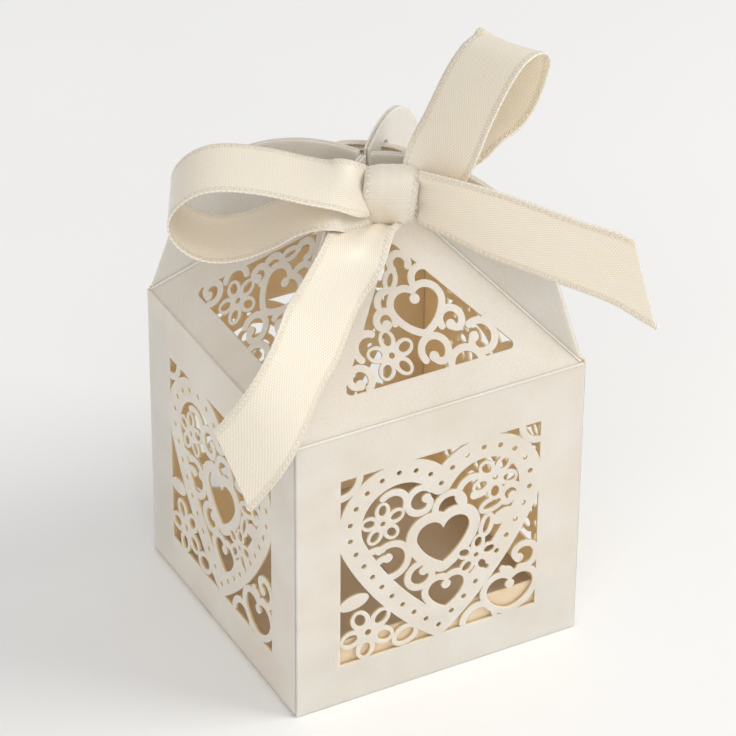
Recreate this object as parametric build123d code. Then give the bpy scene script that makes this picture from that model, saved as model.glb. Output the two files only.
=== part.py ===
"""Favor box: a folded card carton with cut-out filigree windows, tied with a satin bow.

Millimetres, +Z up. The origin is the middle of the base's underside and the front wall
faces -Y. Each panel is a stiff piece of card that turns on a scored crease, and the
ribbon goes through one punched hole in each of the four upright fins.
"""
import os
from math import acos, asin, atan2, cos, copysign, degrees, radians, sin, sqrt, tan

from build123d import *

# Card carton
box_width = 50.0  # outside, both ways
wall_height = 50.0  # base to roof crease
card = 0.4  # thickness of the pearl card
corner_radius = 0.6  # outside radius of the upright folds
crease_gap = 0.06  # slit between two panels at a crease
glue_tab_width = 6.5
glue_tab_setback = 3.0  # below the roof crease and above the dust flaps

# Bottom closure
base_side_clearance = 0.3  # base panel to the outside of the side walls
base_flap_gap = 0.05  # dust flaps above the base panel
tuck_clearance = 0.2  # tuck flap behind the front wall
tuck_height = 11.0
tuck_corner_radius = 4.0
tuck_side_setback = 1.5
dust_depth = 20.0
dust_back_setback = 1.2  # from the back wall, along the crease
dust_front_setback = 6.0  # from the front wall, along the crease
dust_front_taper = 2.5

# Roof: each wall carries one petal, scored into a panel and two half gussets
roof_length = 38.0  # crease to apex along the panel
fin_crown = 2.0  # top of the petal's arc above the apex, on the flat petal
fin_gap = 0.05  # inner face of a half gusset to the diagonal plane
petal_side_clearance = 0.1
gusset_corner_relief = 1.4  # cut away at the wall corner
fin_axis_clearance = 0.9  # fins end this far from the box's axis
roof_tip_half_width = 1.3  # blunt top of the roof panel
ribbon_hole_along_hip = 8.3  # from the apex, along the hip crease
ribbon_hole_off_hip = 3.4
ribbon_hole_radius = 2.6

# Windows and filigree
window_size = 34.5
window_height = 24.6  # middle of the window above the base
roof_window_width = 30.0
roof_window_low = 5.4  # above the roof crease
roof_window_steepness = 1.373  # rise against half the width

# Ornament, drawn in units of its own: so many of them across a window
units_per_wall_window = 34.5
units_per_roof_window = 30.0
drawn = {
    "vine": 1.15,  # stroke of the vines
    "least_curl": 0.75,
    "bud": 0.8,  # blob at the end of a curl
    "leaf_rim": 0.8,  # round the slit in a leaf
    "heart_band": 4.0,
    "heart_dot": 0.45,
    "locket_frame": 1.85,
    "locket_shift": 0.5,  # the open heart hangs off the middle line
    "roof_corner": 0.8,
}
curl_shrink = 0.55  # inner turn of a curl against its outer turn
heart_join_angle = -25.0  # where a lobe passes into the side of a heart
heart_dots_per_side = 17
# Hearts are lobe offset, lobe height, lobe radius, tip depth
heart_band_line = (7.3, 7.2, 8.4, 15.4)
locket_line = (2.25, 2.2, 2.35, 3.5)

# Flower: its petals, then shares of its reach
petals_per_flower = 5
petal_middle = 0.6
petal_long = 0.43
petal_wide = 0.34
petal_hole_middle = 0.65
petal_hole_long = 0.26
petal_hole_wide = 0.18
flower_disc = 0.3
flower_eye = 0.12

# Wall ornament from the window's middle: flowers are x, y, reach, turn
wall_flowers = [(-10.0, 7.1, 3.8, 20), (9.4, 9.4, 4.0, 55), (6.4, -4.2, 3.6, 10), (-12.4, -12.5, 4.8, 45)]
# Leaves are x, y, length, width, turn
wall_leaves = [(9.0, 4.5, 4.8, 2.8, 15), (8.1, 0.9, 4.6, 2.6, 75), (-5.9, -15.2, 4.8, 3.8, 20)]
wall_solid_leaves = [(11.0, 1.7, 4.0, 2.6, 20), (-14.9, -6.0, 5.2, 2.6, 10), (12.0, -9.6, 2.4, 2.4, 0)]
# Small open hearts are x, y, lobe offset, lobe height, lobe radius, tip depth
wall_hearts = [(1.2, -9.3, 1.45, 0.8, 1.7, 2.9), (12.6, -13.2, 1.95, 0.7, 2.2, 3.2)]
# Vines are x, y, radius, start, sweep
wall_vines = [
    (1.5, 6.5, 2.5, -10, 200), (-8.4, 9.8, 2.5, -20, 150), (-11.4, -1.5, 4.0, 115, -45),
    (13.2, -7.9, 2.1, 200, 90), (7.2, -17.0, 2.9, 5, 170), (-17.2, 17.2, 3.2, 270, 90),
    (17.2, 17.2, 3.2, 180, 90),
]
# Curls are x, y, radius, start, sweep, turn of the inner hook
wall_curls = [
    (-3.5, 9.3, 2.3, 40, 250, 130), (5.5, 8.2, 2.5, 225, -215, 130), (12.2, 5.5, 1.6, -20, 250, 130),
    (-8.6, -0.3, 3.1, 130, -270, 150), (-3.4, -4.8, 2.2, 100, 230, 130), (15.0, -7.2, 2.2, 250, 230, 130),
]

# Roof ornament from the middle of the window's lower edge, in the same order
roof_flowers = [(-5.4, 4.0, 3.9, 90)]
roof_leaves = [(-1.9, 14.9, 3.8, 2.4, 60)]
roof_hearts = [(1.0, 9.6, 1.7, 1.0, 2.0, 3.2)]
roof_vines = [
    (0.3, 17.0, 1.5, -30, 240), (-8.6, 6.0, 2.2, 60, 160), (6.0, -0.4, 2.6, 0, 180),
    (3.4, 13.8, 2.0, 190, -150), (-3.2, 11.6, 1.9, 20, 160),
]
roof_curls = [
    (1.6, 3.0, 2.2, 210, -250, 130), (-11.4, 1.8, 1.8, 300, 230, 130), (9.4, 3.2, 2.4, 120, -230, 130),
    (5.6, 6.8, 1.8, 200, -230, 130), (-4.6, 9.2, 1.5, 330, 220, 130),
]

# Ribbon
ribbon_width = 12.7
ribbon_thickness = 0.5
band_radial = 2.0  # gathered stretch through the fins
band_height = 4.0
ribbon_seat_gap = 0.02  # loops and tails to the knot
knot_left = 0.6  # knot from the middle of the front, to the left
knot_forward = 0.6  # knot before the band
knot_raise = 2.4  # knot above the band
knot_turn = -28.6  # the bow is tied askew, turned about the vertical
units_per_ribbon_width = 12.7  # the knot and the ribbon's points are in these units
units_per_box_width = 50.0  # the left tail follows the fin, so its points are in these
knot_size = (9.0, 6.0, 9.6)  # along the bow, deep, high
knot_rounding_share = 0.37  # of the depth
cut_skew = 35.0  # the tails are cut on the slant
slant_start = 0.5  # share of a tail's length where its sections begin to slant
sections_per_loop = 32
sections_per_tail = 24

half = box_width / 2
cut_depth = 3 * card  # through the card, with room on both sides
inside = half - card
petal_straight = roof_length + fin_crown - half  # height of the petal's straight sides
lean = asin(half / roof_length)  # roof panels lean in from upright
lean_sine = sin(lean)
hip_start = half - card * cos(lean) - fin_gap * sqrt(2)
hip_top = hip_start / lean_sine
hip_scale = sqrt(1 + lean_sine**2)
hip_along = Vector(lean_sine / hip_scale, -1 / hip_scale, 0)  # apex to wall corner, on the flat petal
hip_across = Vector(1 / hip_scale, lean_sine / hip_scale, 0)  # out of the panel, on the flat petal
gusset_fold = atan2(hip_scale, cos(lean))
hip_rise = atan2(hip_top * cos(lean), hip_start * sqrt(2))
apex_height = wall_height + hip_top * cos(lean) - card * sin(lean)
band_radius = ribbon_hole_along_hip * cos(hip_rise) + ribbon_hole_off_hip * sin(hip_rise)
band_level = apex_height - ribbon_hole_along_hip * sin(hip_rise) + ribbon_hole_off_hip * cos(hip_rise)
knot_middle = Vector(-knot_left, -band_radius - knot_forward, band_level + knot_raise)
dust_level = card + base_flap_gap
bow_unit = ribbon_width / units_per_ribbon_width
fin_unit = box_width / units_per_box_width
quarter_turns = {"front": 0, "right": 90, "back": 180, "left": 270}


def write(shape, name):
    """Save one node."""
    export_step(shape, "parts/" + name + ".step")


def keep_side(shape, point, direction):
    """The part of a shape on the side of a plane that the direction points to."""
    return split(shape, bisect_by=Plane(origin=point, z_dir=direction), keep=Keep.TOP)


def polar(x, y, radius, angle):
    """A point at a distance and an angle in degrees from a middle."""
    return (x + radius * cos(radians(angle)), y + radius * sin(radians(angle)))


# Filigree, drawn flat


def arc_stroke(x, y, radius, start, sweep):
    """A stroke of the vine along an arc, with round ends."""
    edge = drawn["vine"] / 2
    outer = CenterArc((x, y), radius + edge, start, sweep)
    inner = CenterArc((x, y), radius - edge, start, sweep)
    sides = [Line(outer @ 0, inner @ 0), Line(outer @ 1, inner @ 1)]
    ends = [Pos(*polar(x, y, radius, start + turn)) * Circle(edge) for turn in (0, sweep)]
    return [make_face([outer, inner] + sides)] + ends


def curl(x, y, radius, start, sweep, hook):
    """An arc that goes on into a tighter hook and ends in a bud."""
    strokes = arc_stroke(x, y, radius, start, sweep)
    tighter = max(radius * curl_shrink, drawn["least_curl"])
    x, y = polar(x, y, radius - tighter, start + sweep)
    turn = copysign(hook, sweep)
    strokes += arc_stroke(x, y, tighter, start + sweep, turn)
    return strokes + [Pos(*polar(x, y, tighter, start + sweep + turn)) * Circle(drawn["bud"])]


def flower(x, y, reach, turn):
    """Petals round a disc, and the holes in them."""
    petals = [Pos(x, y) * Circle(flower_disc * reach)]
    holes = [Pos(x, y) * Circle(flower_eye * reach)]
    for angle in range(0, 360, 360 // petals_per_flower):
        place = Pos(x, y) * Rot(0, 0, turn + angle)
        petal = Ellipse(petal_long * reach, petal_wide * reach)
        petals.append(place * Pos(petal_middle * reach, 0) * petal)
        hole = Ellipse(petal_hole_long * reach, petal_hole_wide * reach)
        holes.append(place * Pos(petal_hole_middle * reach, 0) * hole)
    return petals, holes


def leaf(x, y, length, width, turn, rim=0.0):
    """An oval leaf, or with a rim the slit in it."""
    return Pos(x, y) * Rot(0, 0, turn) * Ellipse(length / 2 - rim, width / 2 - rim)


def open_heart(x, y, lobe_offset, lobe_height, lobe_radius, tip_depth):
    """A small heart of vine with a bud in its notch: its outline and its opening."""
    opening = heart(lobe_offset, lobe_height, lobe_radius, tip_depth)
    notch = lobe_height + sqrt(lobe_radius**2 - lobe_offset**2)
    bud = Pos(0, notch - drawn["bud"] / 2) * Circle(drawn["bud"])
    return Pos(x, y) * offset(opening, drawn["vine"]), Pos(x, y) * (opening - bud)


def heart_edges(lobe_offset, lobe_height, lobe_radius, tip_depth):
    """The right half of a heart as two tangent arcs, from the notch to the tip."""
    notch_angle = degrees(atan2(sqrt(lobe_radius**2 - lobe_offset**2), -lobe_offset))
    lobe = CenterArc((lobe_offset, lobe_height), lobe_radius, notch_angle, heart_join_angle - notch_angle)
    side = TangentArc(lobe @ 1, (0, -tip_depth), tangent=lobe % 1)
    return lobe, side


def heart(lobe_offset, lobe_height, lobe_radius, tip_depth):
    """A heart-shaped face about the Y axis."""
    lobe, side = heart_edges(lobe_offset, lobe_height, lobe_radius, tip_depth)
    right = make_face([lobe, side, Line(side @ 1, lobe @ 0)])
    return right + mirror(right, about=Plane.YZ)


def heart_ring(lobe_offset, lobe_height, lobe_radius, tip_depth, width):
    """A band of even width along a heart."""
    middle = heart(lobe_offset, lobe_height, lobe_radius, tip_depth)
    return offset(middle, width / 2) - offset(middle, -width / 2)


def heart_dots():
    """Small holes at even steps along the heart band."""
    lobe, side = heart_edges(*heart_band_line)
    run = Wire([lobe, side])
    dots = []
    for step in range(heart_dots_per_side + 1):
        spot = run @ (step / heart_dots_per_side)
        dots.append(Pos(spot.X, spot.Y) * Circle(drawn["heart_dot"]))
        if 0 < step < heart_dots_per_side:
            dots.append(Pos(-spot.X, spot.Y) * Circle(drawn["heart_dot"]))
    return dots


def joined(faces):
    """Overlapping faces as one sketch."""
    return Sketch() + faces


def ornament(flowers, leaves, hearts, vines, curls):
    """Faces of the ornament, and the holes in them."""
    faces = []
    holes = []
    for row in flowers:
        petals, openings = flower(*row)
        faces += petals
        holes += openings
    for row in leaves:
        faces.append(leaf(*row))
        holes.append(leaf(*row, rim=drawn["leaf_rim"]))
    for row in hearts:
        outline, opening = open_heart(*row)
        faces.append(outline)
        holes.append(opening)
    for row in vines:
        faces += arc_stroke(*row)
    for row in curls:
        faces += curl(*row)
    return faces, holes


def wall_openings():
    """What is cut out of a wall: the window less its filigree, and the holes in that."""
    faces, holes = ornament(wall_flowers, wall_leaves, wall_hearts, wall_vines, wall_curls)
    locket = Pos(drawn["locket_shift"], 0) * heart(*locket_line)
    faces += [heart_ring(*heart_band_line, drawn["heart_band"]), offset(locket, drawn["locket_frame"])]
    faces += [leaf(*row) for row in wall_solid_leaves]
    holes += heart_dots() + [locket]
    window = Rectangle(units_per_wall_window, units_per_wall_window)
    openings = joined([window - joined(faces)]) + joined(holes)
    return scale(openings, by=window_size / units_per_wall_window)


def roof_openings():
    """What is cut out of a roof panel, with the crease at Y 0."""
    wide = units_per_roof_window / 2
    window = make_face(Polyline((-wide, 0), (wide, 0), (0, wide * roof_window_steepness), close=True))
    window = fillet(window.vertices(), drawn["roof_corner"])
    faces, holes = ornament(roof_flowers, roof_leaves, roof_hearts, roof_vines, roof_curls)
    openings = joined([window - joined(faces)]) + joined(holes)
    return Pos(0, roof_window_low) * scale(openings, by=roof_window_width / units_per_roof_window)


# Card panels


def sleeve_wall():
    """The front wall: a quarter of the sleeve, with its rounded upright folds."""
    ring = RectangleRounded(box_width, box_width, corner_radius)
    ring -= RectangleRounded(2 * inside, 2 * inside, corner_radius - card)
    wedge = make_face(Polyline((0, 0), (box_width, -box_width), (-box_width, -box_width), close=True))
    wall = extrude(ring & wedge, wall_height)
    top_edge = (0, -half, wall_height - crease_gap / 2)
    return keep_side(wall, top_edge, (0, -sin(lean / 2), -cos(lean / 2)))


def walls():
    """The four window walls; each foot suits the flap that hangs on it."""
    wall = sleeve_wall() - extrude(Plane.XZ * Pos(0, window_height) * wall_openings(), half + card)
    square = (0, 0, 1)
    mitred = (0, -1, 1)
    feet = {"front": (0, square), "back": (crease_gap / 2, mitred)}
    beside_flap = (dust_level + crease_gap / 2, mitred)
    made = {}
    for name, turn in quarter_turns.items():
        level, facing = feet.get(name, beside_flap)
        made[name] = Rot(0, 0, turn) * keep_side(wall, (0, -half, level), facing)
    return made


def glue_tab():
    """Strip of the back wall glued flat inside the left wall."""
    tab = Box(card, glue_tab_width, wall_height - 2 * glue_tab_setback)
    return Pos(-inside + card / 2, inside - corner_radius - glue_tab_width / 2, wall_height / 2) * tab


def base_panel():
    """Bottom lid: creased to the back wall, with the tuck flap at its front."""
    width = box_width - 2 * base_side_clearance
    front = -(inside - tuck_clearance - card - crease_gap / 2)
    plate = Pos(0, (half + front) / 2, card / 2) * Box(width, half - front, card)
    return keep_side(plate, (0, half, crease_gap / 2), (0, -1, -1))


def tuck_flap():
    """Lip that slides up behind the front wall."""
    width = box_width - 2 * (card + tuck_side_setback)
    outline = Rectangle(width, tuck_height)
    top_corners = outline.vertices().group_by(Axis.Y)[-1]
    outline = fillet(top_corners, tuck_corner_radius)
    lip = extrude(Plane.XZ * outline, card)
    return Pos(0, -(inside - tuck_clearance - card), card + crease_gap / 2 + tuck_height / 2) * lip


def dust_flap():
    """Right-hand bottom flap, cut at 45 degrees beside the base panel's crease."""
    tip = half - dust_depth
    back = half - dust_back_setback
    front = -half + dust_front_setback
    outline = [(half, back), (tip, back - dust_depth), (tip, front + dust_front_taper), (half, front)]
    flap = extrude(make_face(Polyline(*outline, close=True)), card)
    flap = Pos(0, 0, dust_level) * flap
    return keep_side(flap, (half, 0, dust_level - crease_gap / 2), (-1, 0, -1))


def roof_plane():
    """Where the front petal's outer face lies: X along the crease, Y up the slope."""
    return Plane(origin=(0, -half, wall_height), x_dir=(1, 0, 0), z_dir=(0, -cos(lean), sin(lean)))


def roof_panel():
    """Sloping roof panel on the flat petal, mitred along its three creases."""
    tip = (hip_start - roof_tip_half_width) / lean_sine
    outline = [(-half, 0), (half, 0), (roof_tip_half_width, tip), (-roof_tip_half_width, tip)]
    panel = extrude(make_face(Polyline(*outline, close=True)), -card)
    panel = keep_side(panel, (0, crease_gap / 2, 0), (0, cos(lean / 2), sin(lean / 2)))
    panel = keep_side(panel, hip_point(-crease_gap / 2), -mitre_normal(1))
    panel = mirror(panel, about=Plane.YZ)
    panel = keep_side(panel, hip_point(-crease_gap / 2), -mitre_normal(1))
    cutter = extrude(Pos(0, 0, card) * roof_openings(), -cut_depth)
    return panel - cutter


def hip_point(offset):
    """A point beside the right hip crease, on the petal's inner face."""
    return Vector(0, hip_top, -card) + hip_across * offset


def mitre_normal(side):
    """Normal of the mitre at the hip: side 1 for the panel, -1 for the half gusset."""
    return hip_across * cos(gusset_fold / 2) + Vector(0, 0, side * sin(gusset_fold / 2))


def half_gusset():
    """Right half gusset, cut flat and then folded outwards about the hip crease."""
    side = inside - petal_side_clearance
    side_angle = degrees(acos(side / half))
    crown = CenterArc((0, petal_straight), half, side_angle, 90 - side_angle)
    low = (hip_start - gusset_corner_relief * lean_sine, gusset_corner_relief)
    lines = Polyline(crown @ 1, (0, hip_top), low, (side, gusset_corner_relief), crown @ 0)
    piece = Pos(0, 0, -card) * extrude(make_face([lines, crown]), card)
    piece = keep_side(piece, hip_point(crease_gap / 2), mitre_normal(-1))
    outward = hip_along * cos(hip_rise) + hip_across * sin(hip_rise)
    piece = keep_side(piece, Vector(0, hip_top, -card) + outward * fin_axis_clearance, outward)
    hole = hip_point(ribbon_hole_off_hip) + hip_along * ribbon_hole_along_hip
    piece -= Pos(hole.X, hole.Y, hole.Z) * Cylinder(ribbon_hole_radius, cut_depth)
    return piece.rotate(Axis(hip_point(0), hip_along), degrees(gusset_fold))


# Ribbon


def knot(growth=0.0):
    """Wrapped middle of the bow: a rounded block in front of the band."""
    block = Box(*[side * bow_unit + growth for side in knot_size])
    block = fillet(block.edges(), knot_rounding_share * knot_size[1] * bow_unit)
    return Pos(*knot_middle) * Rot(0, 0, knot_turn) * block


def ribbon_run(points, across, widths, sections, unit, skew=0.0):
    """A flat ribbon through hand-laid points; across gives its width direction at each point.

    A skew slants the last sections little by little, up to the cut end.
    """
    spread = [knot_middle + Vector(*point) * unit for point in points]
    path = Spline(*spread)
    last = len(points) - 1
    spots = [path.param_at_point(point) for point in spread]
    frames = []
    for step in range(sections + 1):
        share = step / sections
        upper = next(i for i in range(1, last + 1) if share <= spots[i] + 1e-6 or i == last)
        mix = (share - spots[upper - 1]) / (spots[upper] - spots[upper - 1])
        wide = Vector(*across[upper - 1]) * (1 - mix) + Vector(*across[upper]) * mix
        width = widths[upper - 1] * (1 - mix) + widths[upper] * mix
        ahead = path % share
        wide = (wide - ahead * wide.dot(ahead)).normalized()
        slant = max(0, share - slant_start) / (1 - slant_start) * tan(radians(skew))
        frame = Plane(origin=path @ share, x_dir=wide + ahead * slant, z_dir=ahead - wide * slant)
        frames.append(frame * Rectangle(ribbon_width * width * sqrt(1 + slant**2), ribbon_thickness))
    run = loft(frames, ruled=True)
    return run - knot(2 * ribbon_seat_gap)


def loop_left():
    """Loop that lies over the near fin, its width level."""
    points = [(-4.0, 1.2, 2.4), (-8.2, 0.4, 5.8), (-14.0, 3.8, 5.8), (-20.6, 7.4, 6.6), (-26.8, 10.6, 5.6),
              (-30.1, 12.4, 0.4), (-26.9, 10.8, -4.9), (-20.6, 7.7, -5.3), (-15.0, 4.6, -2.0),
              (-8.8, 0.9, 4.2), (-3.2, 2.7, 1.8)]
    level = (0.48, 0.88, 0.04)
    over_fin = (0.68, 0.7, 0.2)
    at_knot = (0.45, 0.5, 0.75)
    across = [at_knot, over_fin] + [level] * 7 + [over_fin, at_knot]
    widths = [0.42, 0.9] + [1] * 7 + [0.9, 0.42]
    return ribbon_run(points, across, widths, sections_per_loop, bow_unit)


def loop_right():
    """Loop that stands up to the right, its width towards the viewer."""
    points = [(1.2, -1.6, 4.3), (4.2, -4.4, 7.4), (7.0, -5.2, 12.9), (9.8, -5.6, 18.0), (12.2, -6.2, 22.6),
              (16.0, -6.0, 25.0), (18.9, -4.4, 21.6), (18.6, -2.8, 16.6), (16.2, -2.0, 11.6),
              (11.4, -2.2, 6.6), (3.2, -1.2, 3.8)]
    across = [(0.34, -0.9, 0.24)] * len(points)
    widths = [0.45, 0.85] + [1] * 7 + [0.95, 0.45]
    return ribbon_run(points, across, widths, sections_per_loop, bow_unit)


def tail_left():
    """Tail laid over the shoulder of the near fin and down past the wall corner."""
    points = [(-1.9, -2.2, -1.5), (-5.4, -5.2, 1.3), (-9.4, -8.0, 2.2), (-12.8, -10.6, -0.6),
              (-15.6, -12.2, -4.6), (-19.6, -13.8, -9.6), (-23.2, -14.8, -14.9),
              (-26.9, -16.0, -20.1), (-30.4, -16.8, -24.4), (-33.4, -17.4, -29.4)]
    shoulder = (1, 0, -0.3)
    hanging = (0.74, 0.07, -0.67)
    across = [shoulder] * 3 + [hanging] * 7
    widths = [0.4, 0.7, 0.95] + [1] * 7
    return ribbon_run(points, across, widths, sections_per_tail, fin_unit, cut_skew)


def tail_right():
    """Tail that stands on edge along the front of the right fin."""
    points = [(3.6, -2.0, -1.4), (6.6, -7.4, -1.0), (10.2, -11.3, -1.6), (16.0, -16.2, -3.7),
              (21.3, -20.2, -5.9), (25.1, -22.8, -7.4), (29.1, -25.6, -9.9)]
    upright = (0, 0, 1)
    widths = [0.45, 0.75] + [1] * 5
    return ribbon_run(points, [upright] * len(points), widths, sections_per_tail, bow_unit, -cut_skew)


def band():
    """Gathered stretch of ribbon in a ring through the fins' holes, behind the knot."""
    section = Plane.XZ * Pos(band_radius, band_level) * Ellipse(band_radial / 2, band_height / 2)
    return revolve(section, Axis.Z) - knot(2 * ribbon_seat_gap)


os.makedirs("parts", exist_ok=True)
for wall_name, wall_shape in walls().items():
    write(wall_shape, "wall_" + wall_name)
write(glue_tab(), "glue_tab")
write(base_panel(), "base_panel")
write(tuck_flap(), "base_tuck_flap")
write(dust_flap(), "dust_flap_right")
write(mirror(dust_flap(), about=Plane.YZ), "dust_flap_left")
flat_roof = roof_panel()
flat_gusset = half_gusset()
petal = roof_plane().location
for side_name, side_turn in quarter_turns.items():
    spot = Rot(0, 0, side_turn) * petal
    write(spot * flat_roof, "roof_" + side_name)
    write(spot * flat_gusset, "gusset_" + side_name + "_right")
    write(spot * mirror(flat_gusset, about=Plane.YZ), "gusset_" + side_name + "_left")
write(knot(), "bow_knot")
write(loop_left(), "bow_loop_left")
write(loop_right(), "bow_loop_right")
write(tail_left(), "ribbon_tail_left")
write(tail_right(), "ribbon_tail_right")
write(band(), "ribbon_band")
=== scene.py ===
import bpy
import numpy as np
from mathutils import Matrix


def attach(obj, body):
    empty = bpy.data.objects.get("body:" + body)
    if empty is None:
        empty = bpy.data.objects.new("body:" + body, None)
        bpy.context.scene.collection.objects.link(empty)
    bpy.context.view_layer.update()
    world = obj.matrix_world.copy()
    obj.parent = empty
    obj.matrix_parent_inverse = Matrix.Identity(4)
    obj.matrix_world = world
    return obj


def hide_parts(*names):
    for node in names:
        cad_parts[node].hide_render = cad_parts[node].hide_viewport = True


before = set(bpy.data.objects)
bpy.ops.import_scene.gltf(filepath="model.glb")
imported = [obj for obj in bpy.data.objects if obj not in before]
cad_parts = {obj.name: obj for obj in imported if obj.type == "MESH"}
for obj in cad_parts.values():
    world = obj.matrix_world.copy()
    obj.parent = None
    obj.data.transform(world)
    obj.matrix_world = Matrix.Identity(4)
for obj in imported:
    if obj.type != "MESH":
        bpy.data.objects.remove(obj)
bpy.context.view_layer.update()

# Favor box: the card panels are the frame's own nodes with a pearl card finish, and the
# ribbon's bow is laid as cloth strips. Sizes are in millimetres until a mesh is made.

MM = 0.001
SCENE = bpy.context.scene

# Card box
HALF_WIDTH = 25.0
WALL_HEIGHT = 50.0
CARD = 0.4  # thickness
FOLD_RADIUS = 0.6  # outside of the folds between walls
FIN_GAP = 0.05  # from a fin's middle plane to each of its two layers
ROOF_LENGTH = 38.0  # of a roof panel, up its slope to the apex
LEAN_SINE = HALF_WIDTH / ROOF_LENGTH
LEAN_COSINE = np.sqrt(1 - LEAN_SINE**2)
SCORE_RIDGE = 0.24  # from the middle of a crease's raised line to its corners
SCORE_RISE = 0.12  # from a wall's top edge up the roof to the middle of the raised line
HIP_LOW = 50.4  # height where the raised line on a hip begins
HIP_TOP = 76.6  # height where it ends

# Ribbon
RIBBON_WIDTH = 12.7
CLOTH = 0.26  # thickness
STEPS_ALONG = 280
POINTS_ACROSS = 37
PLEATS = 2.5  # waves across the width where the ribbon is drawn together
SLANT_START = 0.5  # share of a tail's length where its rows begin to slant to the cut
LEFT_CUT = 39.0  # degrees that a tail's end is off square
RIGHT_CUT = -42.0
PICOT_PITCH = 0.9
PICOT_REACH = np.array([0.27, 0.62, 0.24])  # along the edge, across it, through the cloth
PICOT_INSET = 0.6  # from the edge to a picot's middle
PICOT_LEAN = np.radians(25)

# Knot's wrap
KNOT = np.array([-0.6, -9.18, 78.42])  # middle of the knot
KNOT_HALF_WIDTH = 4.0
KNOT_DEPTH = 3.0
KNOT_HEIGHT = 4.6
KNOT_LEFT = 0.3  # shift of the wrap to the left
KNOT_LEAN = 0.5  # shift of its top to the right, and of its foot to the left
KNOT_ROUNDING = 2.7  # power of its rounded section, where 2 is an ellipse
KNOT_DRAWN = 0.2  # share by which it is smaller at its edges
KNOT_RIPPLE = 0.006  # share by which it is fuller on a ripple
KNOT_RIPPLES = 5  # across its width
KNOT_CREASE = 0.05  # depth of its slanting crease, as a share of its size
CREASE_WIDTH = 0.16  # as a share of the half width
CREASE_SLANT = 0.3  # share of the half width that it moves over for each radian round the wrap
CREASE_TURN = 5.6  # radians round the wrap where the crease crosses its middle
KNOT_FLAT = (0.0105, 0.026)  # the stock drawn together, and once round the bow, in metres

# Stretch gathered through the fins
BAND_RADIUS = 8.58
BAND_LEVEL = 76.02
BAND_HALF_HEIGHT = 1.75
BAND_FOLD = 0.85  # reach of its folds, in and out
BAND_FOLDS = 3.5  # across its width
BAND_SWAY = 0.6  # radians that the folds shift to and fro
BAND_SWAYS = 3  # on the way round
BAND_WAVE = 0.15  # rise and fall of its level
BAND_WAVES = 5  # on the way round
BAND_LENGTH = 54.0

# Directions of the bow as it is tied: along it to the right, and away from the front
BOW_TURN = np.radians(-28.6)
BOW_RIGHT = np.array([np.cos(BOW_TURN), np.sin(BOW_TURN), 0.0])
BOW_AWAY = np.array([-np.sin(BOW_TURN), np.cos(BOW_TURN), 0.0])
UP = np.array([0.0, 0.0, 1.0])

# Patterns of the finishes
MICA_FLAKE = 0.2  # coarser than real, so that it shows
CARD_MOTTLE = 9.0
TIE_PITCH = 0.42  # of the satin's dots, coarser than real, so that they show
THREAD_MOTTLE = 0.6
TABLE_MOTTLE = 120.0

# Colours of the card
PEARL = "#F1EBE2"
PEARL_UNDER = "#F0E8DC"
CUT_EDGE = "#E8D6B0"
# Painted warm shade: the inside is coloured gold, standing in for light that warms as it bounces round inside
# the box
PAINTED_WARM_INSIDE = "#FBE3C6"
# Painted highlight: the creases' raised lines are coloured lighter than the card, so that they read as lit
# lines
PAINTED_SCORE_HIGHLIGHT = "#F7F1E7"

# Table top and light
TABLE_HALF = 1500.0  # from its middle to each side
TABLE_POINTS = 13  # along each side
LIGHT_TARGET = (0, 0, 0.05)  # in metres
LIGHT_COLOUR = "#FFFDF8"
SKY_STRENGTH = 0.57


# Camera

def set_camera(place, azimuth, elevation, roll, lens):
    """A camera at a place in metres, looking back along azimuth and elevation, with a small roll."""
    a, e, r = np.radians([azimuth, elevation, roll])
    back = np.array([np.sin(a) * np.cos(e), -np.cos(a) * np.cos(e), np.sin(e)])
    level = np.array([np.cos(a), np.sin(a), 0.0])
    upright = np.cross(back, level)
    right = level * np.cos(r) + upright * np.sin(r)
    up = upright * np.cos(r) - level * np.sin(r)
    turned = np.stack([right, up, back], 1)
    data = bpy.data.cameras.new("camera")
    data.lens = lens
    data.sensor_width = 36.0
    camera = bpy.data.objects.new("camera", data)
    camera.matrix_world = Matrix.Translation(place) @ Matrix(turned.tolist()).to_4x4()
    SCENE.collection.objects.link(camera)
    SCENE.camera = camera


set_camera(place=(-0.2406, -0.4428, 0.3777), azimuth=-28.60, elevation=33.66, roll=0.47, lens=191.5)


# Materials

# Sockets of a Mix node's two colours and of its mixed colour, which share their names with others
MIX_FIRST = 6
MIX_SECOND = 7
MIX_RESULT = 2


def linear(colour):
    """An sRGB hex colour as linear RGBA."""
    values = np.array([int(colour[i:i + 2], 16) for i in (1, 3, 5)]) / 255
    values = np.where(values <= 0.04045, values / 12.92, ((values + 0.055) / 1.055) ** 2.4)
    return (*values.tolist(), 1.0)


def add(tree, kind, sockets=(), links=(), stops=(), **properties):
    """Add a node: its properties, (socket, value) pairs, (socket, source) links and ramp stops."""
    made = tree.nodes.new(kind)
    for name, value in properties.items():
        setattr(made, name, value)
    for name, value in sockets:
        made.inputs[name].default_value = value
    for name, source in links:
        tree.links.new(made.inputs[name], source)
    for place, colour in stops[1:-1]:
        made.color_ramp.elements.new(place)
    for element, (place, colour) in zip(made.color_ramp.elements if stops else (), stops):
        element.position = place
        element.color = linear(colour)
    return made


def new_material(name):
    """An empty node material, its tree and its surface socket."""
    material = bpy.data.materials.new(name)
    material.use_nodes = True
    tree = material.node_tree
    tree.nodes.clear()
    surface = add(tree, "ShaderNodeOutputMaterial").inputs["Surface"]
    return material, tree, surface


# The next four take a point's distances x and y from the middle planes and its height z. Each gives
# a measure of the point, and what that measure is on the card's outer face, in millimetres. The
# second less the first is the depth in the card.

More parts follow.
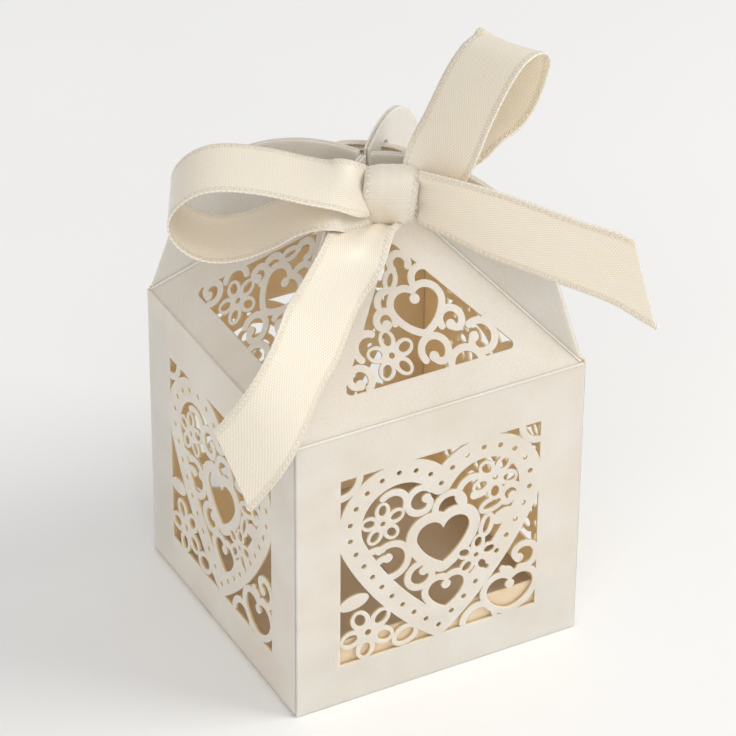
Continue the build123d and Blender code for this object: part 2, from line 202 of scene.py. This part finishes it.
def wall_depth(tree, x, y, z):
    """In the sleeve: the distance past the square of fold centres, which is the fold radius outside."""
    past = []
    for side in (x, y):
        beyond = add(tree, "ShaderNodeMath", [(1, (HALF_WIDTH - FOLD_RADIUS) * MM)], [(0, side)],
                     operation="SUBTRACT")
        outward = add(tree, "ShaderNodeMath", [(1, 0.0)], [(0, beyond.outputs[0])], operation="MAXIMUM")
        past.append(outward.outputs[0])
    corner = add(tree, "ShaderNodeCombineXYZ", (), [("X", past[0]), ("Y", past[1])])
    length = add(tree, "ShaderNodeVectorMath", (), [(0, corner.outputs[0])], operation="LENGTH")
    return length.outputs["Value"], FOLD_RADIUS


def roof_depth(tree, x, y, z):
    """In a roof panel: the reach along the normal of the panel's outer plane."""
    outer = add(tree, "ShaderNodeMath", (), [(0, x), (1, y)], operation="MAXIMUM")
    lying = add(tree, "ShaderNodeMath", [(1, LEAN_COSINE)], [(0, outer.outputs[0])], operation="MULTIPLY")
    reach = add(tree, "ShaderNodeMath", [(1, LEAN_SINE)], [(0, z), (2, lying.outputs[0])],
                operation="MULTIPLY_ADD")
    return reach.outputs[0], HALF_WIDTH * LEAN_COSINE + WALL_HEIGHT * LEAN_SINE


def fin_depth(tree, x, y, z):
    """In a fin: the distance from the diagonal plane, which is half the fin's thickness outside."""
    apart = add(tree, "ShaderNodeMath", (), [(0, x), (1, y)], operation="SUBTRACT")
    gap = add(tree, "ShaderNodeMath", (), [(0, apart.outputs[0])], operation="ABSOLUTE")
    reach = add(tree, "ShaderNodeMath", [(1, np.sqrt(0.5))], [(0, gap.outputs[0])], operation="MULTIPLY")
    return reach.outputs[0], CARD + FIN_GAP


def base_depth(tree, x, y, z):
    """In the base: the height turned round, because the outer face is the lower one, on the table."""
    turned = add(tree, "ShaderNodeMath", [(1, -1.0)], [(0, z)], operation="MULTIPLY")
    return turned.outputs[0], 0.0


def pearl_card(name, depth, edge=CUT_EDGE, inside=PAINTED_WARM_INSIDE, face=PEARL, glow=1.0):
    """Pearl card, 300 gsm, calendered with mica flakes and cut by laser.

    Mica gives a soft broad highlight and a fine unevenness of gloss, and its flakes are also painted as
    lighter specks, which are painted glints. The laser leaves a warmer edge, and the inside is painted
    gold, as painted warm shade of light bouncing inside the box. Light goes through the card, so that
    the inside glows. The colours follow the depth as a share of the card's thickness.
    """
    material, tree, surface = new_material(name)
    place = add(tree, "ShaderNodeTexCoord").outputs["Object"]
    parts = add(tree, "ShaderNodeSeparateXYZ", (), [(0, place)])
    sides = []
    for axis in ("X", "Y"):
        side = add(tree, "ShaderNodeMath", (), [(0, parts.outputs[axis])], operation="ABSOLUTE")
        sides.append(side.outputs[0])
    reach, outside = depth(tree, *sides, parts.outputs["Z"])
    share = add(tree, "ShaderNodeMath", [(1, -1 / (CARD * MM)), (2, outside / CARD)], [(0, reach)],
                operation="MULTIPLY_ADD")
    layers = add(tree, "ShaderNodeValToRGB", (), [("Fac", share.outputs[0])],
                 [(0.0, face), (0.1, PEARL_UNDER), (0.16, edge), (0.86, edge), (0.95, inside), (1.0, inside)])

    flakes = add(tree, "ShaderNodeTexNoise",
                 [("Scale", 1 / (MICA_FLAKE * MM)), ("Detail", 3.0), ("Roughness", 0.7)], [("Vector", place)])
    mottle = add(tree, "ShaderNodeTexNoise", [("Scale", 1 / (CARD_MOTTLE * MM)), ("Detail", 4.0)],
                 [("Vector", place)])
    tint = add(tree, "ShaderNodeValToRGB", (), [("Fac", mottle.outputs["Fac"])],
               [(0.3, "#F6F3EE"), (0.7, "#FFFFFF")])
    # Painted glints: the mica flakes are also painted as lighter specks in the colour; their gloss and bump
    # below are real
    painted_sparkle = add(tree, "ShaderNodeValToRGB", (), [("Fac", flakes.outputs["Fac"])],
                  [(0.32, "#F1EEEA"), (0.68, "#FFFFFF")])
    shade = add(tree, "ShaderNodeMix", [("Factor", 1.0)],
                [(MIX_FIRST, layers.outputs["Color"]), (MIX_SECOND, tint.outputs["Color"])],
                data_type="RGBA", blend_type="MULTIPLY")
    colour = add(tree, "ShaderNodeMix", [("Factor", 1.0)],
                 [(MIX_FIRST, shade.outputs[MIX_RESULT]), (MIX_SECOND, painted_sparkle.outputs["Color"])],
                 data_type="RGBA", blend_type="MULTIPLY")

    gloss = add(tree, "ShaderNodeMapRange", [("To Min", 0.36), ("To Max", 0.58)],
                [("Value", flakes.outputs["Fac"])])
    bump = add(tree, "ShaderNodeBump", [("Strength", 0.35), ("Distance", 0.02 * MM)],
               [("Height", flakes.outputs["Fac"])])
    shader = add(tree, "ShaderNodeBsdfPrincipled",
                 [("IOR", 1.5), ("Coat Weight", 0.18), ("Coat Roughness", 0.32), ("Subsurface Weight", glow),
                  ("Subsurface Radius", (1.0, 0.97, 0.92)), ("Subsurface Scale", 1.0 * MM)],
                 [("Base Color", colour.outputs[MIX_RESULT]), ("Roughness", gloss.outputs["Result"]),
                  ("Normal", bump.outputs["Normal"])])
    tree.links.new(surface, shader.outputs[0])
    return material


def polyester(tree, surface, colour, height):
    """The shine of polyester thread: a broad soft highlight, a sheen, and light going through."""
    bump = add(tree, "ShaderNodeBump", [("Strength", 0.3), ("Distance", 0.03 * MM)], [("Height", height)])
    shader = add(tree, "ShaderNodeBsdfPrincipled",
                 [("Roughness", 0.40), ("IOR", 1.6), ("Sheen Weight", 0.25), ("Sheen Roughness", 0.35),
                  ("Subsurface Weight", 0.6), ("Subsurface Radius", (1.0, 0.9, 0.75)),
                  ("Subsurface Scale", 0.7 * MM)],
                 [("Base Color", colour), ("Normal", bump.outputs["Normal"])])
    tree.links.new(surface, shader.outputs[0])


def satin_ribbon(name):
    """Double-faced polyester satin, woven as ribbon. Its UV map is in millimetres along and across.

    Floats run along the ribbon, as streaks about 3 mm long and 0.3 mm wide, and their ties make a
    lattice of small dots, which is two waves crossing. A wave texture at scale 1 repeats each 2 pi / 20.
    The cloth under the picots is painted darker, as painted shade of the picots.
    """
    material, tree, surface = new_material(name)
    weave = add(tree, "ShaderNodeUVMap", uv_map="ribbon").outputs["UV"]
    waves = []
    for angle in (60, -60):
        turned = add(tree, "ShaderNodeMapping", [("Rotation", (0, 0, np.radians(angle)))],
                     [("Vector", weave)])
        wave = add(tree, "ShaderNodeTexWave", [("Scale", 2 * np.pi / (20 * TIE_PITCH)), ("Distortion", 0.3)],
                   [("Vector", turned.outputs[0])])
        waves.append(wave.outputs["Fac"])
    ties = add(tree, "ShaderNodeMath", (), [(0, waves[0]), (1, waves[1])], operation="MULTIPLY")
    drawn = add(tree, "ShaderNodeMapping", [("Scale", (0.25, 3.0, 1.0))], [("Vector", weave)])
    floats = add(tree, "ShaderNodeTexNoise", [("Scale", 1.2), ("Detail", 3.0)],
                 [("Vector", drawn.outputs[0])])
    cloth = add(tree, "ShaderNodeMath", [(1, 0.3)], [(0, floats.outputs["Fac"]), (2, ties.outputs[0])],
                operation="MULTIPLY_ADD")
    ground = add(tree, "ShaderNodeValToRGB", (), [("Fac", cloth.outputs[0])],
                 [(0.1, "#EADCC8"), (0.9, "#FCF4E8")])

    parts = add(tree, "ShaderNodeSeparateXYZ", (), [(0, weave)])
    across = add(tree, "ShaderNodeMath", [(1, 1 / RIBBON_WIDTH)], [(0, parts.outputs["Y"])],
                 operation="MULTIPLY")
    # Painted shade: a band under each row of picots is darkened, as the shade that the picots cast
    near_edge_shade = [(0.0, "#FFFFFF"), (0.02, "#F9F5EE"), (0.085, "#F9F5EE"), (0.105, "#FFFFFF")]
    far_edge_shade = [(1 - place, tone) for place, tone in reversed(near_edge_shade)]
    picot_shade = add(tree, "ShaderNodeValToRGB", (), [("Fac", across.outputs[0])], near_edge_shade + far_edge_shade)
    colour = add(tree, "ShaderNodeMix", [("Factor", 1.0)],
                 [(MIX_FIRST, ground.outputs["Color"]), (MIX_SECOND, picot_shade.outputs["Color"])],
                 data_type="RGBA", blend_type="MULTIPLY")
    polyester(tree, surface, colour.outputs[MIX_RESULT], cloth.outputs[0])
    return material


def picot_thread(name):
    """Polyester thread of the picots: plain and bright, with a faint unevenness."""
    material, tree, surface = new_material(name)
    place = add(tree, "ShaderNodeTexCoord").outputs["Object"]
    mottle = add(tree, "ShaderNodeTexNoise", [("Scale", 1 / (THREAD_MOTTLE * MM)), ("Detail", 2.0)],
                 [("Vector", place)])
    colour = add(tree, "ShaderNodeValToRGB", (), [("Fac", mottle.outputs["Fac"])],
                 [(0.3, "#F6EEDF"), (0.7, "#FFFAF0")])
    polyester(tree, surface, colour.outputs["Color"], mottle.outputs["Fac"])
    return material


# Finishes of the panels, by the first word of their names
CARD_FINISHES = {
    "wall": pearl_card("pearl_card_walls", wall_depth),
    "glue": pearl_card("pearl_card_glue_tab", wall_depth),
    "roof": pearl_card("pearl_card_roof", roof_depth),
    "gusset": pearl_card("pearl_card_fins", fin_depth, PEARL_UNDER, PEARL_UNDER),
    "base": pearl_card("pearl_card_base", base_depth),
    "dust": pearl_card("pearl_card_dust_flaps", base_depth),
}
# The raised lines along the creases have one colour, painted lighter than the card as a painted highlight,
# and no glow because they lie half in the panels
SCORE_HIGHLIGHT_FINISH = pearl_card("pearl_card_scores_painted_highlight", base_depth, PAINTED_SCORE_HIGHLIGHT, PAINTED_SCORE_HIGHLIGHT, PAINTED_SCORE_HIGHLIGHT, glow=0.0)
SATIN = satin_ribbon("cream_satin_ribbon")
PICOT = picot_thread("cream_picot_thread")

for node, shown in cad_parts.items():
    finish = CARD_FINISHES.get(node.split("_")[0])
    if finish:
        shown.data.materials.clear()
        shown.data.materials.append(finish)


# Lines and meshes

def unit(vectors):
    """A vector, or rows of vectors, at length one."""
    return vectors / np.linalg.norm(vectors, axis=-1, keepdims=True)


def square_to(ahead, vectors):
    """Rows of vectors less their part along the unit rows ahead, at length one."""
    part = np.einsum("ij,ij->i", vectors, ahead)[:, None]
    return unit(vectors - ahead * part)


def run_length(points):
    """Length of a line of points from its start to each point."""
    return np.r_[0, np.cumsum(np.linalg.norm(np.diff(points, axis=0), axis=1))]


def at_lengths(lengths, run, vectors):
    """Vectors that belong to a line's points, read off between them at given lengths of its run."""
    return np.stack([np.interp(lengths, run, vectors[:, k]) for k in range(3)], 1)


def smooth_rows(rows, steps):
    """Rows of numbers, point first, on a natural cubic spline, at even steps of its length.

    The spline is by chord length: its second slopes solve the usual three-band equations, with
    none at either end. The second result is its length.
    """
    rows = np.asarray(rows, float)
    at = run_length(rows[:, :3])
    gap = np.diff(at)
    count = len(at)
    left = np.eye(count)
    right = np.zeros_like(rows)
    inner = np.arange(1, count - 1)
    left[inner, inner - 1] = gap[:-1]
    left[inner, inner] = 2 * (gap[:-1] + gap[1:])
    left[inner, inner + 1] = gap[1:]
    slope = np.diff(rows, axis=0) / gap[:, None]
    right[1:-1] = 6 * np.diff(slope, axis=0)
    bend = np.linalg.solve(left, right)

    def value(t):
        k = np.clip(np.searchsorted(at, t, "right") - 1, 0, count - 2)
        a = (at[k + 1] - t)[:, None]
        b = (t - at[k])[:, None]
        h = gap[k][:, None]
        curve = (bend[k] * a**3 + bend[k + 1] * b**3) / (6 * h)
        return curve + (rows[k] / h - bend[k] * h / 6) * a + (rows[k + 1] / h - bend[k + 1] * h / 6) * b

    # Eight fine points to each step measure the length
    fine = np.linspace(0, at[-1], 8 * steps)
    run = run_length(value(fine)[:, :3])
    return value(np.interp(np.linspace(0, run[-1], steps), run, fine)), run[-1]


def put_mesh(name, points, faces, finish, uv=None):
    """A smooth mesh object from points in millimetres and rows of corner numbers."""
    mesh = bpy.data.meshes.new(name)
    mesh.from_pydata((points.reshape(-1, 3) * MM).tolist(), [], faces.tolist())
    if uv is not None:
        layer = mesh.uv_layers.new(name="ribbon")
        corners = np.zeros(len(mesh.loops), int)
        mesh.loops.foreach_get("vertex_index", corners)
        layer.data.foreach_set("uv", uv.reshape(-1, 2)[corners].ravel())
    mesh.polygons.foreach_set("use_smooth", np.ones(len(mesh.polygons), bool))
    mesh.materials.append(finish)
    piece = bpy.data.objects.new(name, mesh)
    SCENE.collection.objects.link(piece)
    return piece


def grid_faces(rows, columns, closed=False):
    """Quads of a grid of points, row by row; closed joins the last row to the first."""
    number = np.arange(rows * columns).reshape(rows, columns)
    if closed:
        number = np.vstack([number, number[:1]])
    corners = [number[:-1, :-1], number[1:, :-1], number[1:, 1:], number[:-1, 1:]]
    return np.stack(corners, -1).reshape(-1, 4)


# Ribbon

def strip(name, surface, along, closed=False):
    """A cloth strip on a grid of points, long side first, thickened both ways.

    Its weave is laid by each point's place along the ribbon and across it.
    """
    rows, columns = surface.shape[:2]
    across = np.linspace(0, RIBBON_WIDTH, columns)
    weave = np.stack(np.broadcast_arrays(along, across), -1)
    piece = put_mesh(name, surface, grid_faces(rows, columns, closed), SATIN, weave)
    cloth = piece.modifiers.new("cloth", "SOLIDIFY")
    cloth.thickness = CLOTH * MM
    cloth.offset = 0.0
    return piece


def picot_ball():
    """A unit icosahedron: corners on three golden rectangles, and a face on each three near corners.

    Near corners are 1.05 apart, and the next ones 1.70.
    """
    golden = (1 + np.sqrt(5)) / 2
    rectangle = np.array([(0, i, j * golden) for i in (-1, 1) for j in (-1, 1)])
    ball = np.vstack([np.roll(rectangle, k, axis=1) for k in range(3)]) / np.sqrt(1 + golden**2)
    near = np.linalg.norm(ball[:, None] - ball[None], axis=2) < 1.2
    a, b, c = np.nonzero(near[:, :, None] & near[:, None, :] & near[None])
    once = (a < b) & (b < c)
    sides = np.stack([a, b, c], 1)[once]
    p, q, r = np.moveaxis(ball[sides], 1, 0)
    inwards = np.einsum("ij,ij->i", np.cross(q - p, r - p), p) < 0
    sides[inwards] = sides[inwards][:, ::-1]
    return ball, sides


def picot_edges(name, surface):
    """Loops of thread along a strip's long edges: at each step a leaning ball, stretched to its reach."""
    ball, sides = picot_ball()
    points = []
    faces = []
    count = 0
    for edge, beside in ((0, 1), (-1, -2)):
        line = surface[:, edge]
        run = run_length(line)
        at = np.arange(PICOT_PITCH / 2, run[-1], PICOT_PITCH)
        ahead = unit(at_lengths(at, run, np.gradient(line, run, axis=0)))
        out = square_to(ahead, at_lengths(at, run, line - surface[:, beside]))
        lean = ahead * np.sin(PICOT_LEAN) + out * np.cos(PICOT_LEAN)
        square = ahead * np.cos(PICOT_LEAN) - out * np.sin(PICOT_LEAN)
        axes = np.stack([square, lean, np.cross(square, lean)], 1) * PICOT_REACH[None, :, None]
        middle = at_lengths(at, run, line) - out * PICOT_INSET
        points.append(middle[:, None] + np.einsum("vk,bkj->bvj", ball, axes))
        first = len(ball) * (count + np.arange(len(at)))
        faces.append((sides[None] + first[:, None, None]).reshape(-1, 3))
        count += len(at)
    return put_mesh(name, np.concatenate(points), np.vstack(faces), PICOT)


def ribbon_surface(rows, cut=0.0):
    """A ribbon through rows of point, width direction, width share and pleat height.

    Points and directions are along the bow to the right, away and up, from the knot's middle. At each
    step the ribbon runs straight along its width direction, made square to the run, and a cosine lifts
    the pleats off that line. A cut angle slants the rows of the far part little by little. The other
    results are each point's place along the ribbon, and the ribbon's length.
    """
    values, length = smooth_rows(rows, STEPS_ALONG)
    axes = np.stack([BOW_RIGHT, BOW_AWAY, UP])
    middle = values[:, :3] @ axes + KNOT
    ahead = unit(np.gradient(middle, axis=0))
    wide = square_to(ahead, values[:, 3:6] @ axes)
    share = np.linspace(0, 1, STEPS_ALONG)
    slant = np.clip(share - SLANT_START, 0, 1) / (1 - SLANT_START) * np.tan(np.radians(cut))
    u = np.linspace(-1, 1, POINTS_ACROSS)
    out = RIBBON_WIDTH / 2 * values[:, 6, None] * u
    shift = out * slant[:, None]
    lift = values[:, 7, None] * np.cos(np.pi * PLEATS * u)
    surface = middle[:, None] + wide[:, None] * out[..., None] + ahead[:, None] * shift[..., None]
    surface += np.cross(ahead, wide)[:, None] * lift[..., None]
    return surface, length * share[:, None] + shift, length


def lay_ribbon(name, rows, node, cut=0.0):
    """One stretch of the bow with its picot edges, in place of its plain node."""
    surface, along, length = ribbon_surface(rows, cut)
    piece = strip(name, surface, along)
    edges = picot_edges(name + "_picot", surface)
    for made in (piece, edges):
        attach(made, "bow")
    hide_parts(node)


# Rows of the bow's four stretches: point, width direction, width share, pleat height

AT_KNOT = (0.0, 0.72, 0.69)
OVER_FIN = (0.10, 0.98, 0.17)
UNDER = (0.20, 0.92, 0.34)
LEVEL = (0.0, 1.0, 0.04)
LOOP_LEFT = [
    (-3.3, -0.8, 1.1, *AT_KNOT, 0.6, 0),
    (-7.9, -4.1, 4.0, *OVER_FIN, 0.84, 0),
    (-12.3, -4.2, 4.9, *LEVEL, 1, 0),
    (-16.6, -4.2, 6.0, *LEVEL, 1, 0),
    (-21.2, -4.2, 6.8, *LEVEL, 1, 0),
    (-28.6, -4.2, 6.0, *LEVEL, 1, 0),
    (-32.4, -4.2, 0.8, *LEVEL, 1, 0),
    (-28.8, -4.1, -4.5, *LEVEL, 1, 0),
    (-21.8, -3.9, -4.9, *LEVEL, 1, 0),
    (-16.0, -4.3, -2.0, *LEVEL, 1, 0),
    (-11.8, -5.8, 0.5, *LEVEL, 0.88, 0),
    (-8.5, -7.2, 1.5, *UNDER, 0.55, 0),
    (-6.0, -4.6, 0.2, 0.1, 0.8, 0.55, 0.5, 0),
    (-3.2, -1.2, -1.2, *AT_KNOT, 0.45, 0),
]
TURNING = (0.80, -0.15, -0.55)
RISING = (0.75, -0.62, -0.1)
FACING = (0.69, -0.71, 0.13)
LOOP_RIGHT = [
    (4.1, 0.8, 1.5, *TURNING, 0.5, 0.2),
    (6.9, 0.8, 5.6, *RISING, 0.9, 0),
    (9.6, 2.0, 11.4, *FACING, 1, 0),
    (11.5, 3.4, 15.5, *FACING, 1, 0),
    (13.5, 5.0, 18.8, *FACING, 1, 0),
    (15.5, 6.8, 20.7, *FACING, 1, 0),
    (17.6, 9.2, 20.5, *FACING, 1, 0),
    (18.2, 10.9, 17.6, *FACING, 1, 0),
    (17.6, 11.2, 13.3, *FACING, 1, 0),
    (15.1, 10.2, 8.7, *FACING, 1, 0),
    (11.9, 7.6, 5.4, *FACING, 0.85, 0),
    (8.4, 4.6, 4.6, *TURNING, 0.55, 0.1),
    (4.1, 1.8, 1.8, *TURNING, 0.45, 0.2),
]
SHOULDER = (0.73, 0.58, -0.36)
HANGING = (0.65, 0.45, -0.61)
TAIL_LEFT = [
    (-1.2, -1.2, -4.2, 1.0, 0.0, 0.0, 0.5, 0.2),
    (-3.7, -8.0, -2.2, 0.95, 0.1, -0.1, 0.64, 0.1),
    (-5.8, -12.9, -3.4, 0.82, 0.46, -0.3, 0.82, 0),
    (-7.9, -16.0, -5.9, *SHOULDER, 0.97, 0),
    (-10.3, -19.6, -9.5, *SHOULDER, 1, 0),
    (-13.2, -25.6, -13.4, *HANGING, 1, 0),
    (-16.0, -29.2, -18.4, 0.70, 0.33, -0.56, 1, 0),
    (-19.1, -29.9, -24.0, 0.76, 0.10, -0.48, 1, 0),
    (-22.8, -28.6, -30.0, 0.82, -0.12, -0.36, 1, 0),
]
UPRIGHT = (0.0, -0.14, 0.99)
TAIL_RIGHT = [
    (4.1, -0.9, 0.2, *UPRIGHT, 0.8, 0.15),
    (9.3, -3.3, -0.4, *UPRIGHT, 0.9, 0.05),
    (14.4, -5.0, -1.6, *UPRIGHT, 1, 0),
    (21.8, -6.6, -3.7, *UPRIGHT, 1, 0),
    (28.4, -7.5, -5.9, *UPRIGHT, 1, 0),
    (33.0, -8.0, -7.6, *UPRIGHT, 1, 0),
    (37.6, -8.5, -10.0, *UPRIGHT, 1, 0),
]


def knot_surface(steps=96, columns=41):
    """The knot's wrap: a rounded loop about the bow, fuller in the middle of its width than at its edges.

    The loop is a superellipse in the turn b, carried from side to side by a. A cosine of a ripples it,
    and a crease slants over it, which is a bell curve of a and a share of b.
    """
    b = np.linspace(0, 2 * np.pi, steps, endpoint=False)[:, None]
    a = np.linspace(-1, 1, columns)[None]
    deep = np.sign(np.cos(b)) * np.abs(np.cos(b)) ** (2 / KNOT_ROUNDING)
    high = np.sign(np.sin(b)) * np.abs(np.sin(b)) ** (2 / KNOT_ROUNDING)
    crease = KNOT_CREASE * np.exp(-((a + CREASE_SLANT * (b - CREASE_TURN)) / CREASE_WIDTH) ** 2)
    full = 1.0 - KNOT_DRAWN * a**4 + KNOT_RIPPLE * np.cos(KNOT_RIPPLES * np.pi * a) - crease
    side = KNOT_HALF_WIDTH * a - KNOT_LEFT + KNOT_LEAN * high
    forward = KNOT_DEPTH * deep * full
    rise = KNOT_HEIGHT * high * full
    return KNOT + side[..., None] * BOW_RIGHT - forward[..., None] * BOW_AWAY + rise[..., None] * UP


def band_surface(steps=160, columns=49):
    """The gathered stretch: a ring through the fins whose section is a close zigzag of the ribbon's width.

    The zigzag is a sine of the place t across the width. It sways, and its level waves, with the turn.
    """
    turn = np.linspace(0, 2 * np.pi, steps, endpoint=False)[:, None]
    t = np.linspace(-1, 1, columns)[None]
    zigzag = BAND_FOLD * np.sin(BAND_FOLDS * np.pi * t + BAND_SWAY * np.sin(BAND_SWAYS * turn))
    radius = BAND_RADIUS + zigzag
    level = BAND_LEVEL + BAND_HALF_HEIGHT * t + BAND_WAVE * np.sin(BAND_WAVES * turn)
    return np.stack([radius * np.cos(turn), radius * np.sin(turn), level], -1)


lay_ribbon("loop_left", LOOP_LEFT, "bow_loop_left")
lay_ribbon("loop_right", LOOP_RIGHT, "bow_loop_right")
lay_ribbon("tail_left", TAIL_LEFT, "ribbon_tail_left", LEFT_CUT)
lay_ribbon("tail_right", TAIL_RIGHT, "ribbon_tail_right", RIGHT_CUT)

knot_points = knot_surface()
knot_along = np.linspace(0, KNOT_FLAT[1] / MM, len(knot_points))[:, None]
knot_wrap = strip("knot_wrap", knot_points, knot_along, closed=True)
knot_picot = picot_edges("knot_wrap_picot", np.concatenate([knot_points, knot_points[:1]]))
band_points = band_surface()
band_along = np.linspace(0, BAND_LENGTH, len(band_points))[:, None]
band = strip("threaded_band", band_points, band_along, closed=True)
for made in (knot_wrap, knot_picot, band):
    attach(made, "bow")
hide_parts("bow_knot")
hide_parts("ribbon_band")


# Creases

def score_lines(name, lines, body):
    """Raised lines of the card along scored creases: a square bar from each line's start to its end."""
    starts, ends = np.moveaxis(np.array(lines), 1, 0)
    ahead = unit(ends - starts)
    # No crease runs along the direction that the bars are squared with
    first = unit(np.cross(ahead, UP + BOW_RIGHT))
    second = np.cross(ahead, first)
    corners = SCORE_RIDGE * np.stack([first, second, -first, -second], 1)
    points = np.concatenate([starts[:, None] + corners, ends[:, None] + corners], 1)
    sides = np.array([(0, 1, 5, 4), (1, 2, 6, 5), (2, 3, 7, 6), (3, 0, 4, 7), (3, 2, 1, 0), (4, 5, 6, 7)])
    bars = points.shape[1] * np.arange(len(lines))
    faces = (sides[None] + bars[:, None, None]).reshape(-1, 4)
    piece = put_mesh(name, points, faces, SCORE_HIGHLIGHT_FINISH)
    piece.data.polygons.foreach_set("use_smooth", np.zeros(len(faces), bool))
    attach(piece, body)


def hip_point(level):
    """Where the front roof's outer face meets the right fin's face, at a height."""
    out = HALF_WIDTH - (level - WALL_HEIGHT) * LEAN_SINE / LEAN_COSINE
    return np.array([out - (CARD + FIN_GAP) * np.sqrt(2), -out, level])


# Ends of the lines on the front's right, which are mirrored to its left and turned round the box
MIRROR = np.array([-1, 1, 1])
line_out = HALF_WIDTH - SCORE_RISE * LEAN_SINE
wall_end = np.array([HALF_WIDTH - FOLD_RADIUS, -line_out, WALL_HEIGHT + SCORE_RISE * LEAN_COSINE])
hip = [hip_point(HIP_LOW), hip_point(HIP_TOP)]
roof_scores = []
for quarter, side in enumerate(("front", "right", "back", "left")):
    turn = np.array(Matrix.Rotation(quarter * np.pi / 2, 3, "Z"))
    roof_scores.append([turn @ (wall_end * MIRROR), turn @ wall_end])
    hips = [[turn @ (end * flip) for end in hip] for flip in (np.ones(3), MIRROR)]
    score_lines("hip_scores_" + side, hips, "roof_" + side + "_flap")
score_lines("roof_scores", roof_scores, "sleeve")


# Table top and light

def table_top():
    """A pale matt table far wider than the view, flat at the base's level."""
    side = np.linspace(-TABLE_HALF, TABLE_HALF, TABLE_POINTS)
    surface = np.stack(np.meshgrid(side, side, [0.0], indexing="ij"), -1)[:, :, 0]
    material, tree, output = new_material("matt_white_table")
    place = add(tree, "ShaderNodeTexCoord").outputs["Object"]
    mottle = add(tree, "ShaderNodeTexNoise", [("Scale", 1 / (TABLE_MOTTLE * MM)), ("Detail", 3.0)],
                 [("Vector", place)])
    colour = add(tree, "ShaderNodeValToRGB", (), [("Fac", mottle.outputs["Fac"])],
                 [(0.3, "#FAFAFA"), (0.7, "#FDFDFD")])
    shader = add(tree, "ShaderNodeBsdfPrincipled", [("Roughness", 0.7)],
                 [("Base Color", colour.outputs["Color"])])
    tree.links.new(output, shader.outputs[0])
    table = put_mesh("table_top", surface, grid_faces(TABLE_POINTS, TABLE_POINTS), material)


def soft_light(name, place, size, watts):
    """A square soft box at a place in metres, turned to the light's target."""
    data = bpy.data.lights.new(name, "AREA")
    data.shape = "SQUARE"
    data.size = size
    data.energy = watts
    data.color = linear(LIGHT_COLOUR)[:3]
    light = bpy.data.objects.new(name, data)
    back = unit(np.array(place) - np.array(LIGHT_TARGET))
    right = unit(np.cross(UP, back))
    turned = np.stack([right, np.cross(back, right), back], 1)
    light.matrix_world = Matrix.Translation(place) @ Matrix(turned.tolist()).to_4x4()
    SCENE.collection.objects.link(light)


table_top()
soft_light("key", place=(0.80, -0.50, 0.90), size=0.7, watts=7.0)
soft_light("fill", place=(-0.55, -0.90, 0.80), size=1.0, watts=4.0)
world = bpy.data.worlds.new("studio")
world.use_nodes = True
sky = world.node_tree.nodes["Background"]
sky.inputs["Color"].default_value = (1.0, 1.0, 1.0, 1.0)
sky.inputs["Strength"].default_value = SKY_STRENGTH
SCENE.world = world
SCENE.view_settings.view_transform = "Standard"
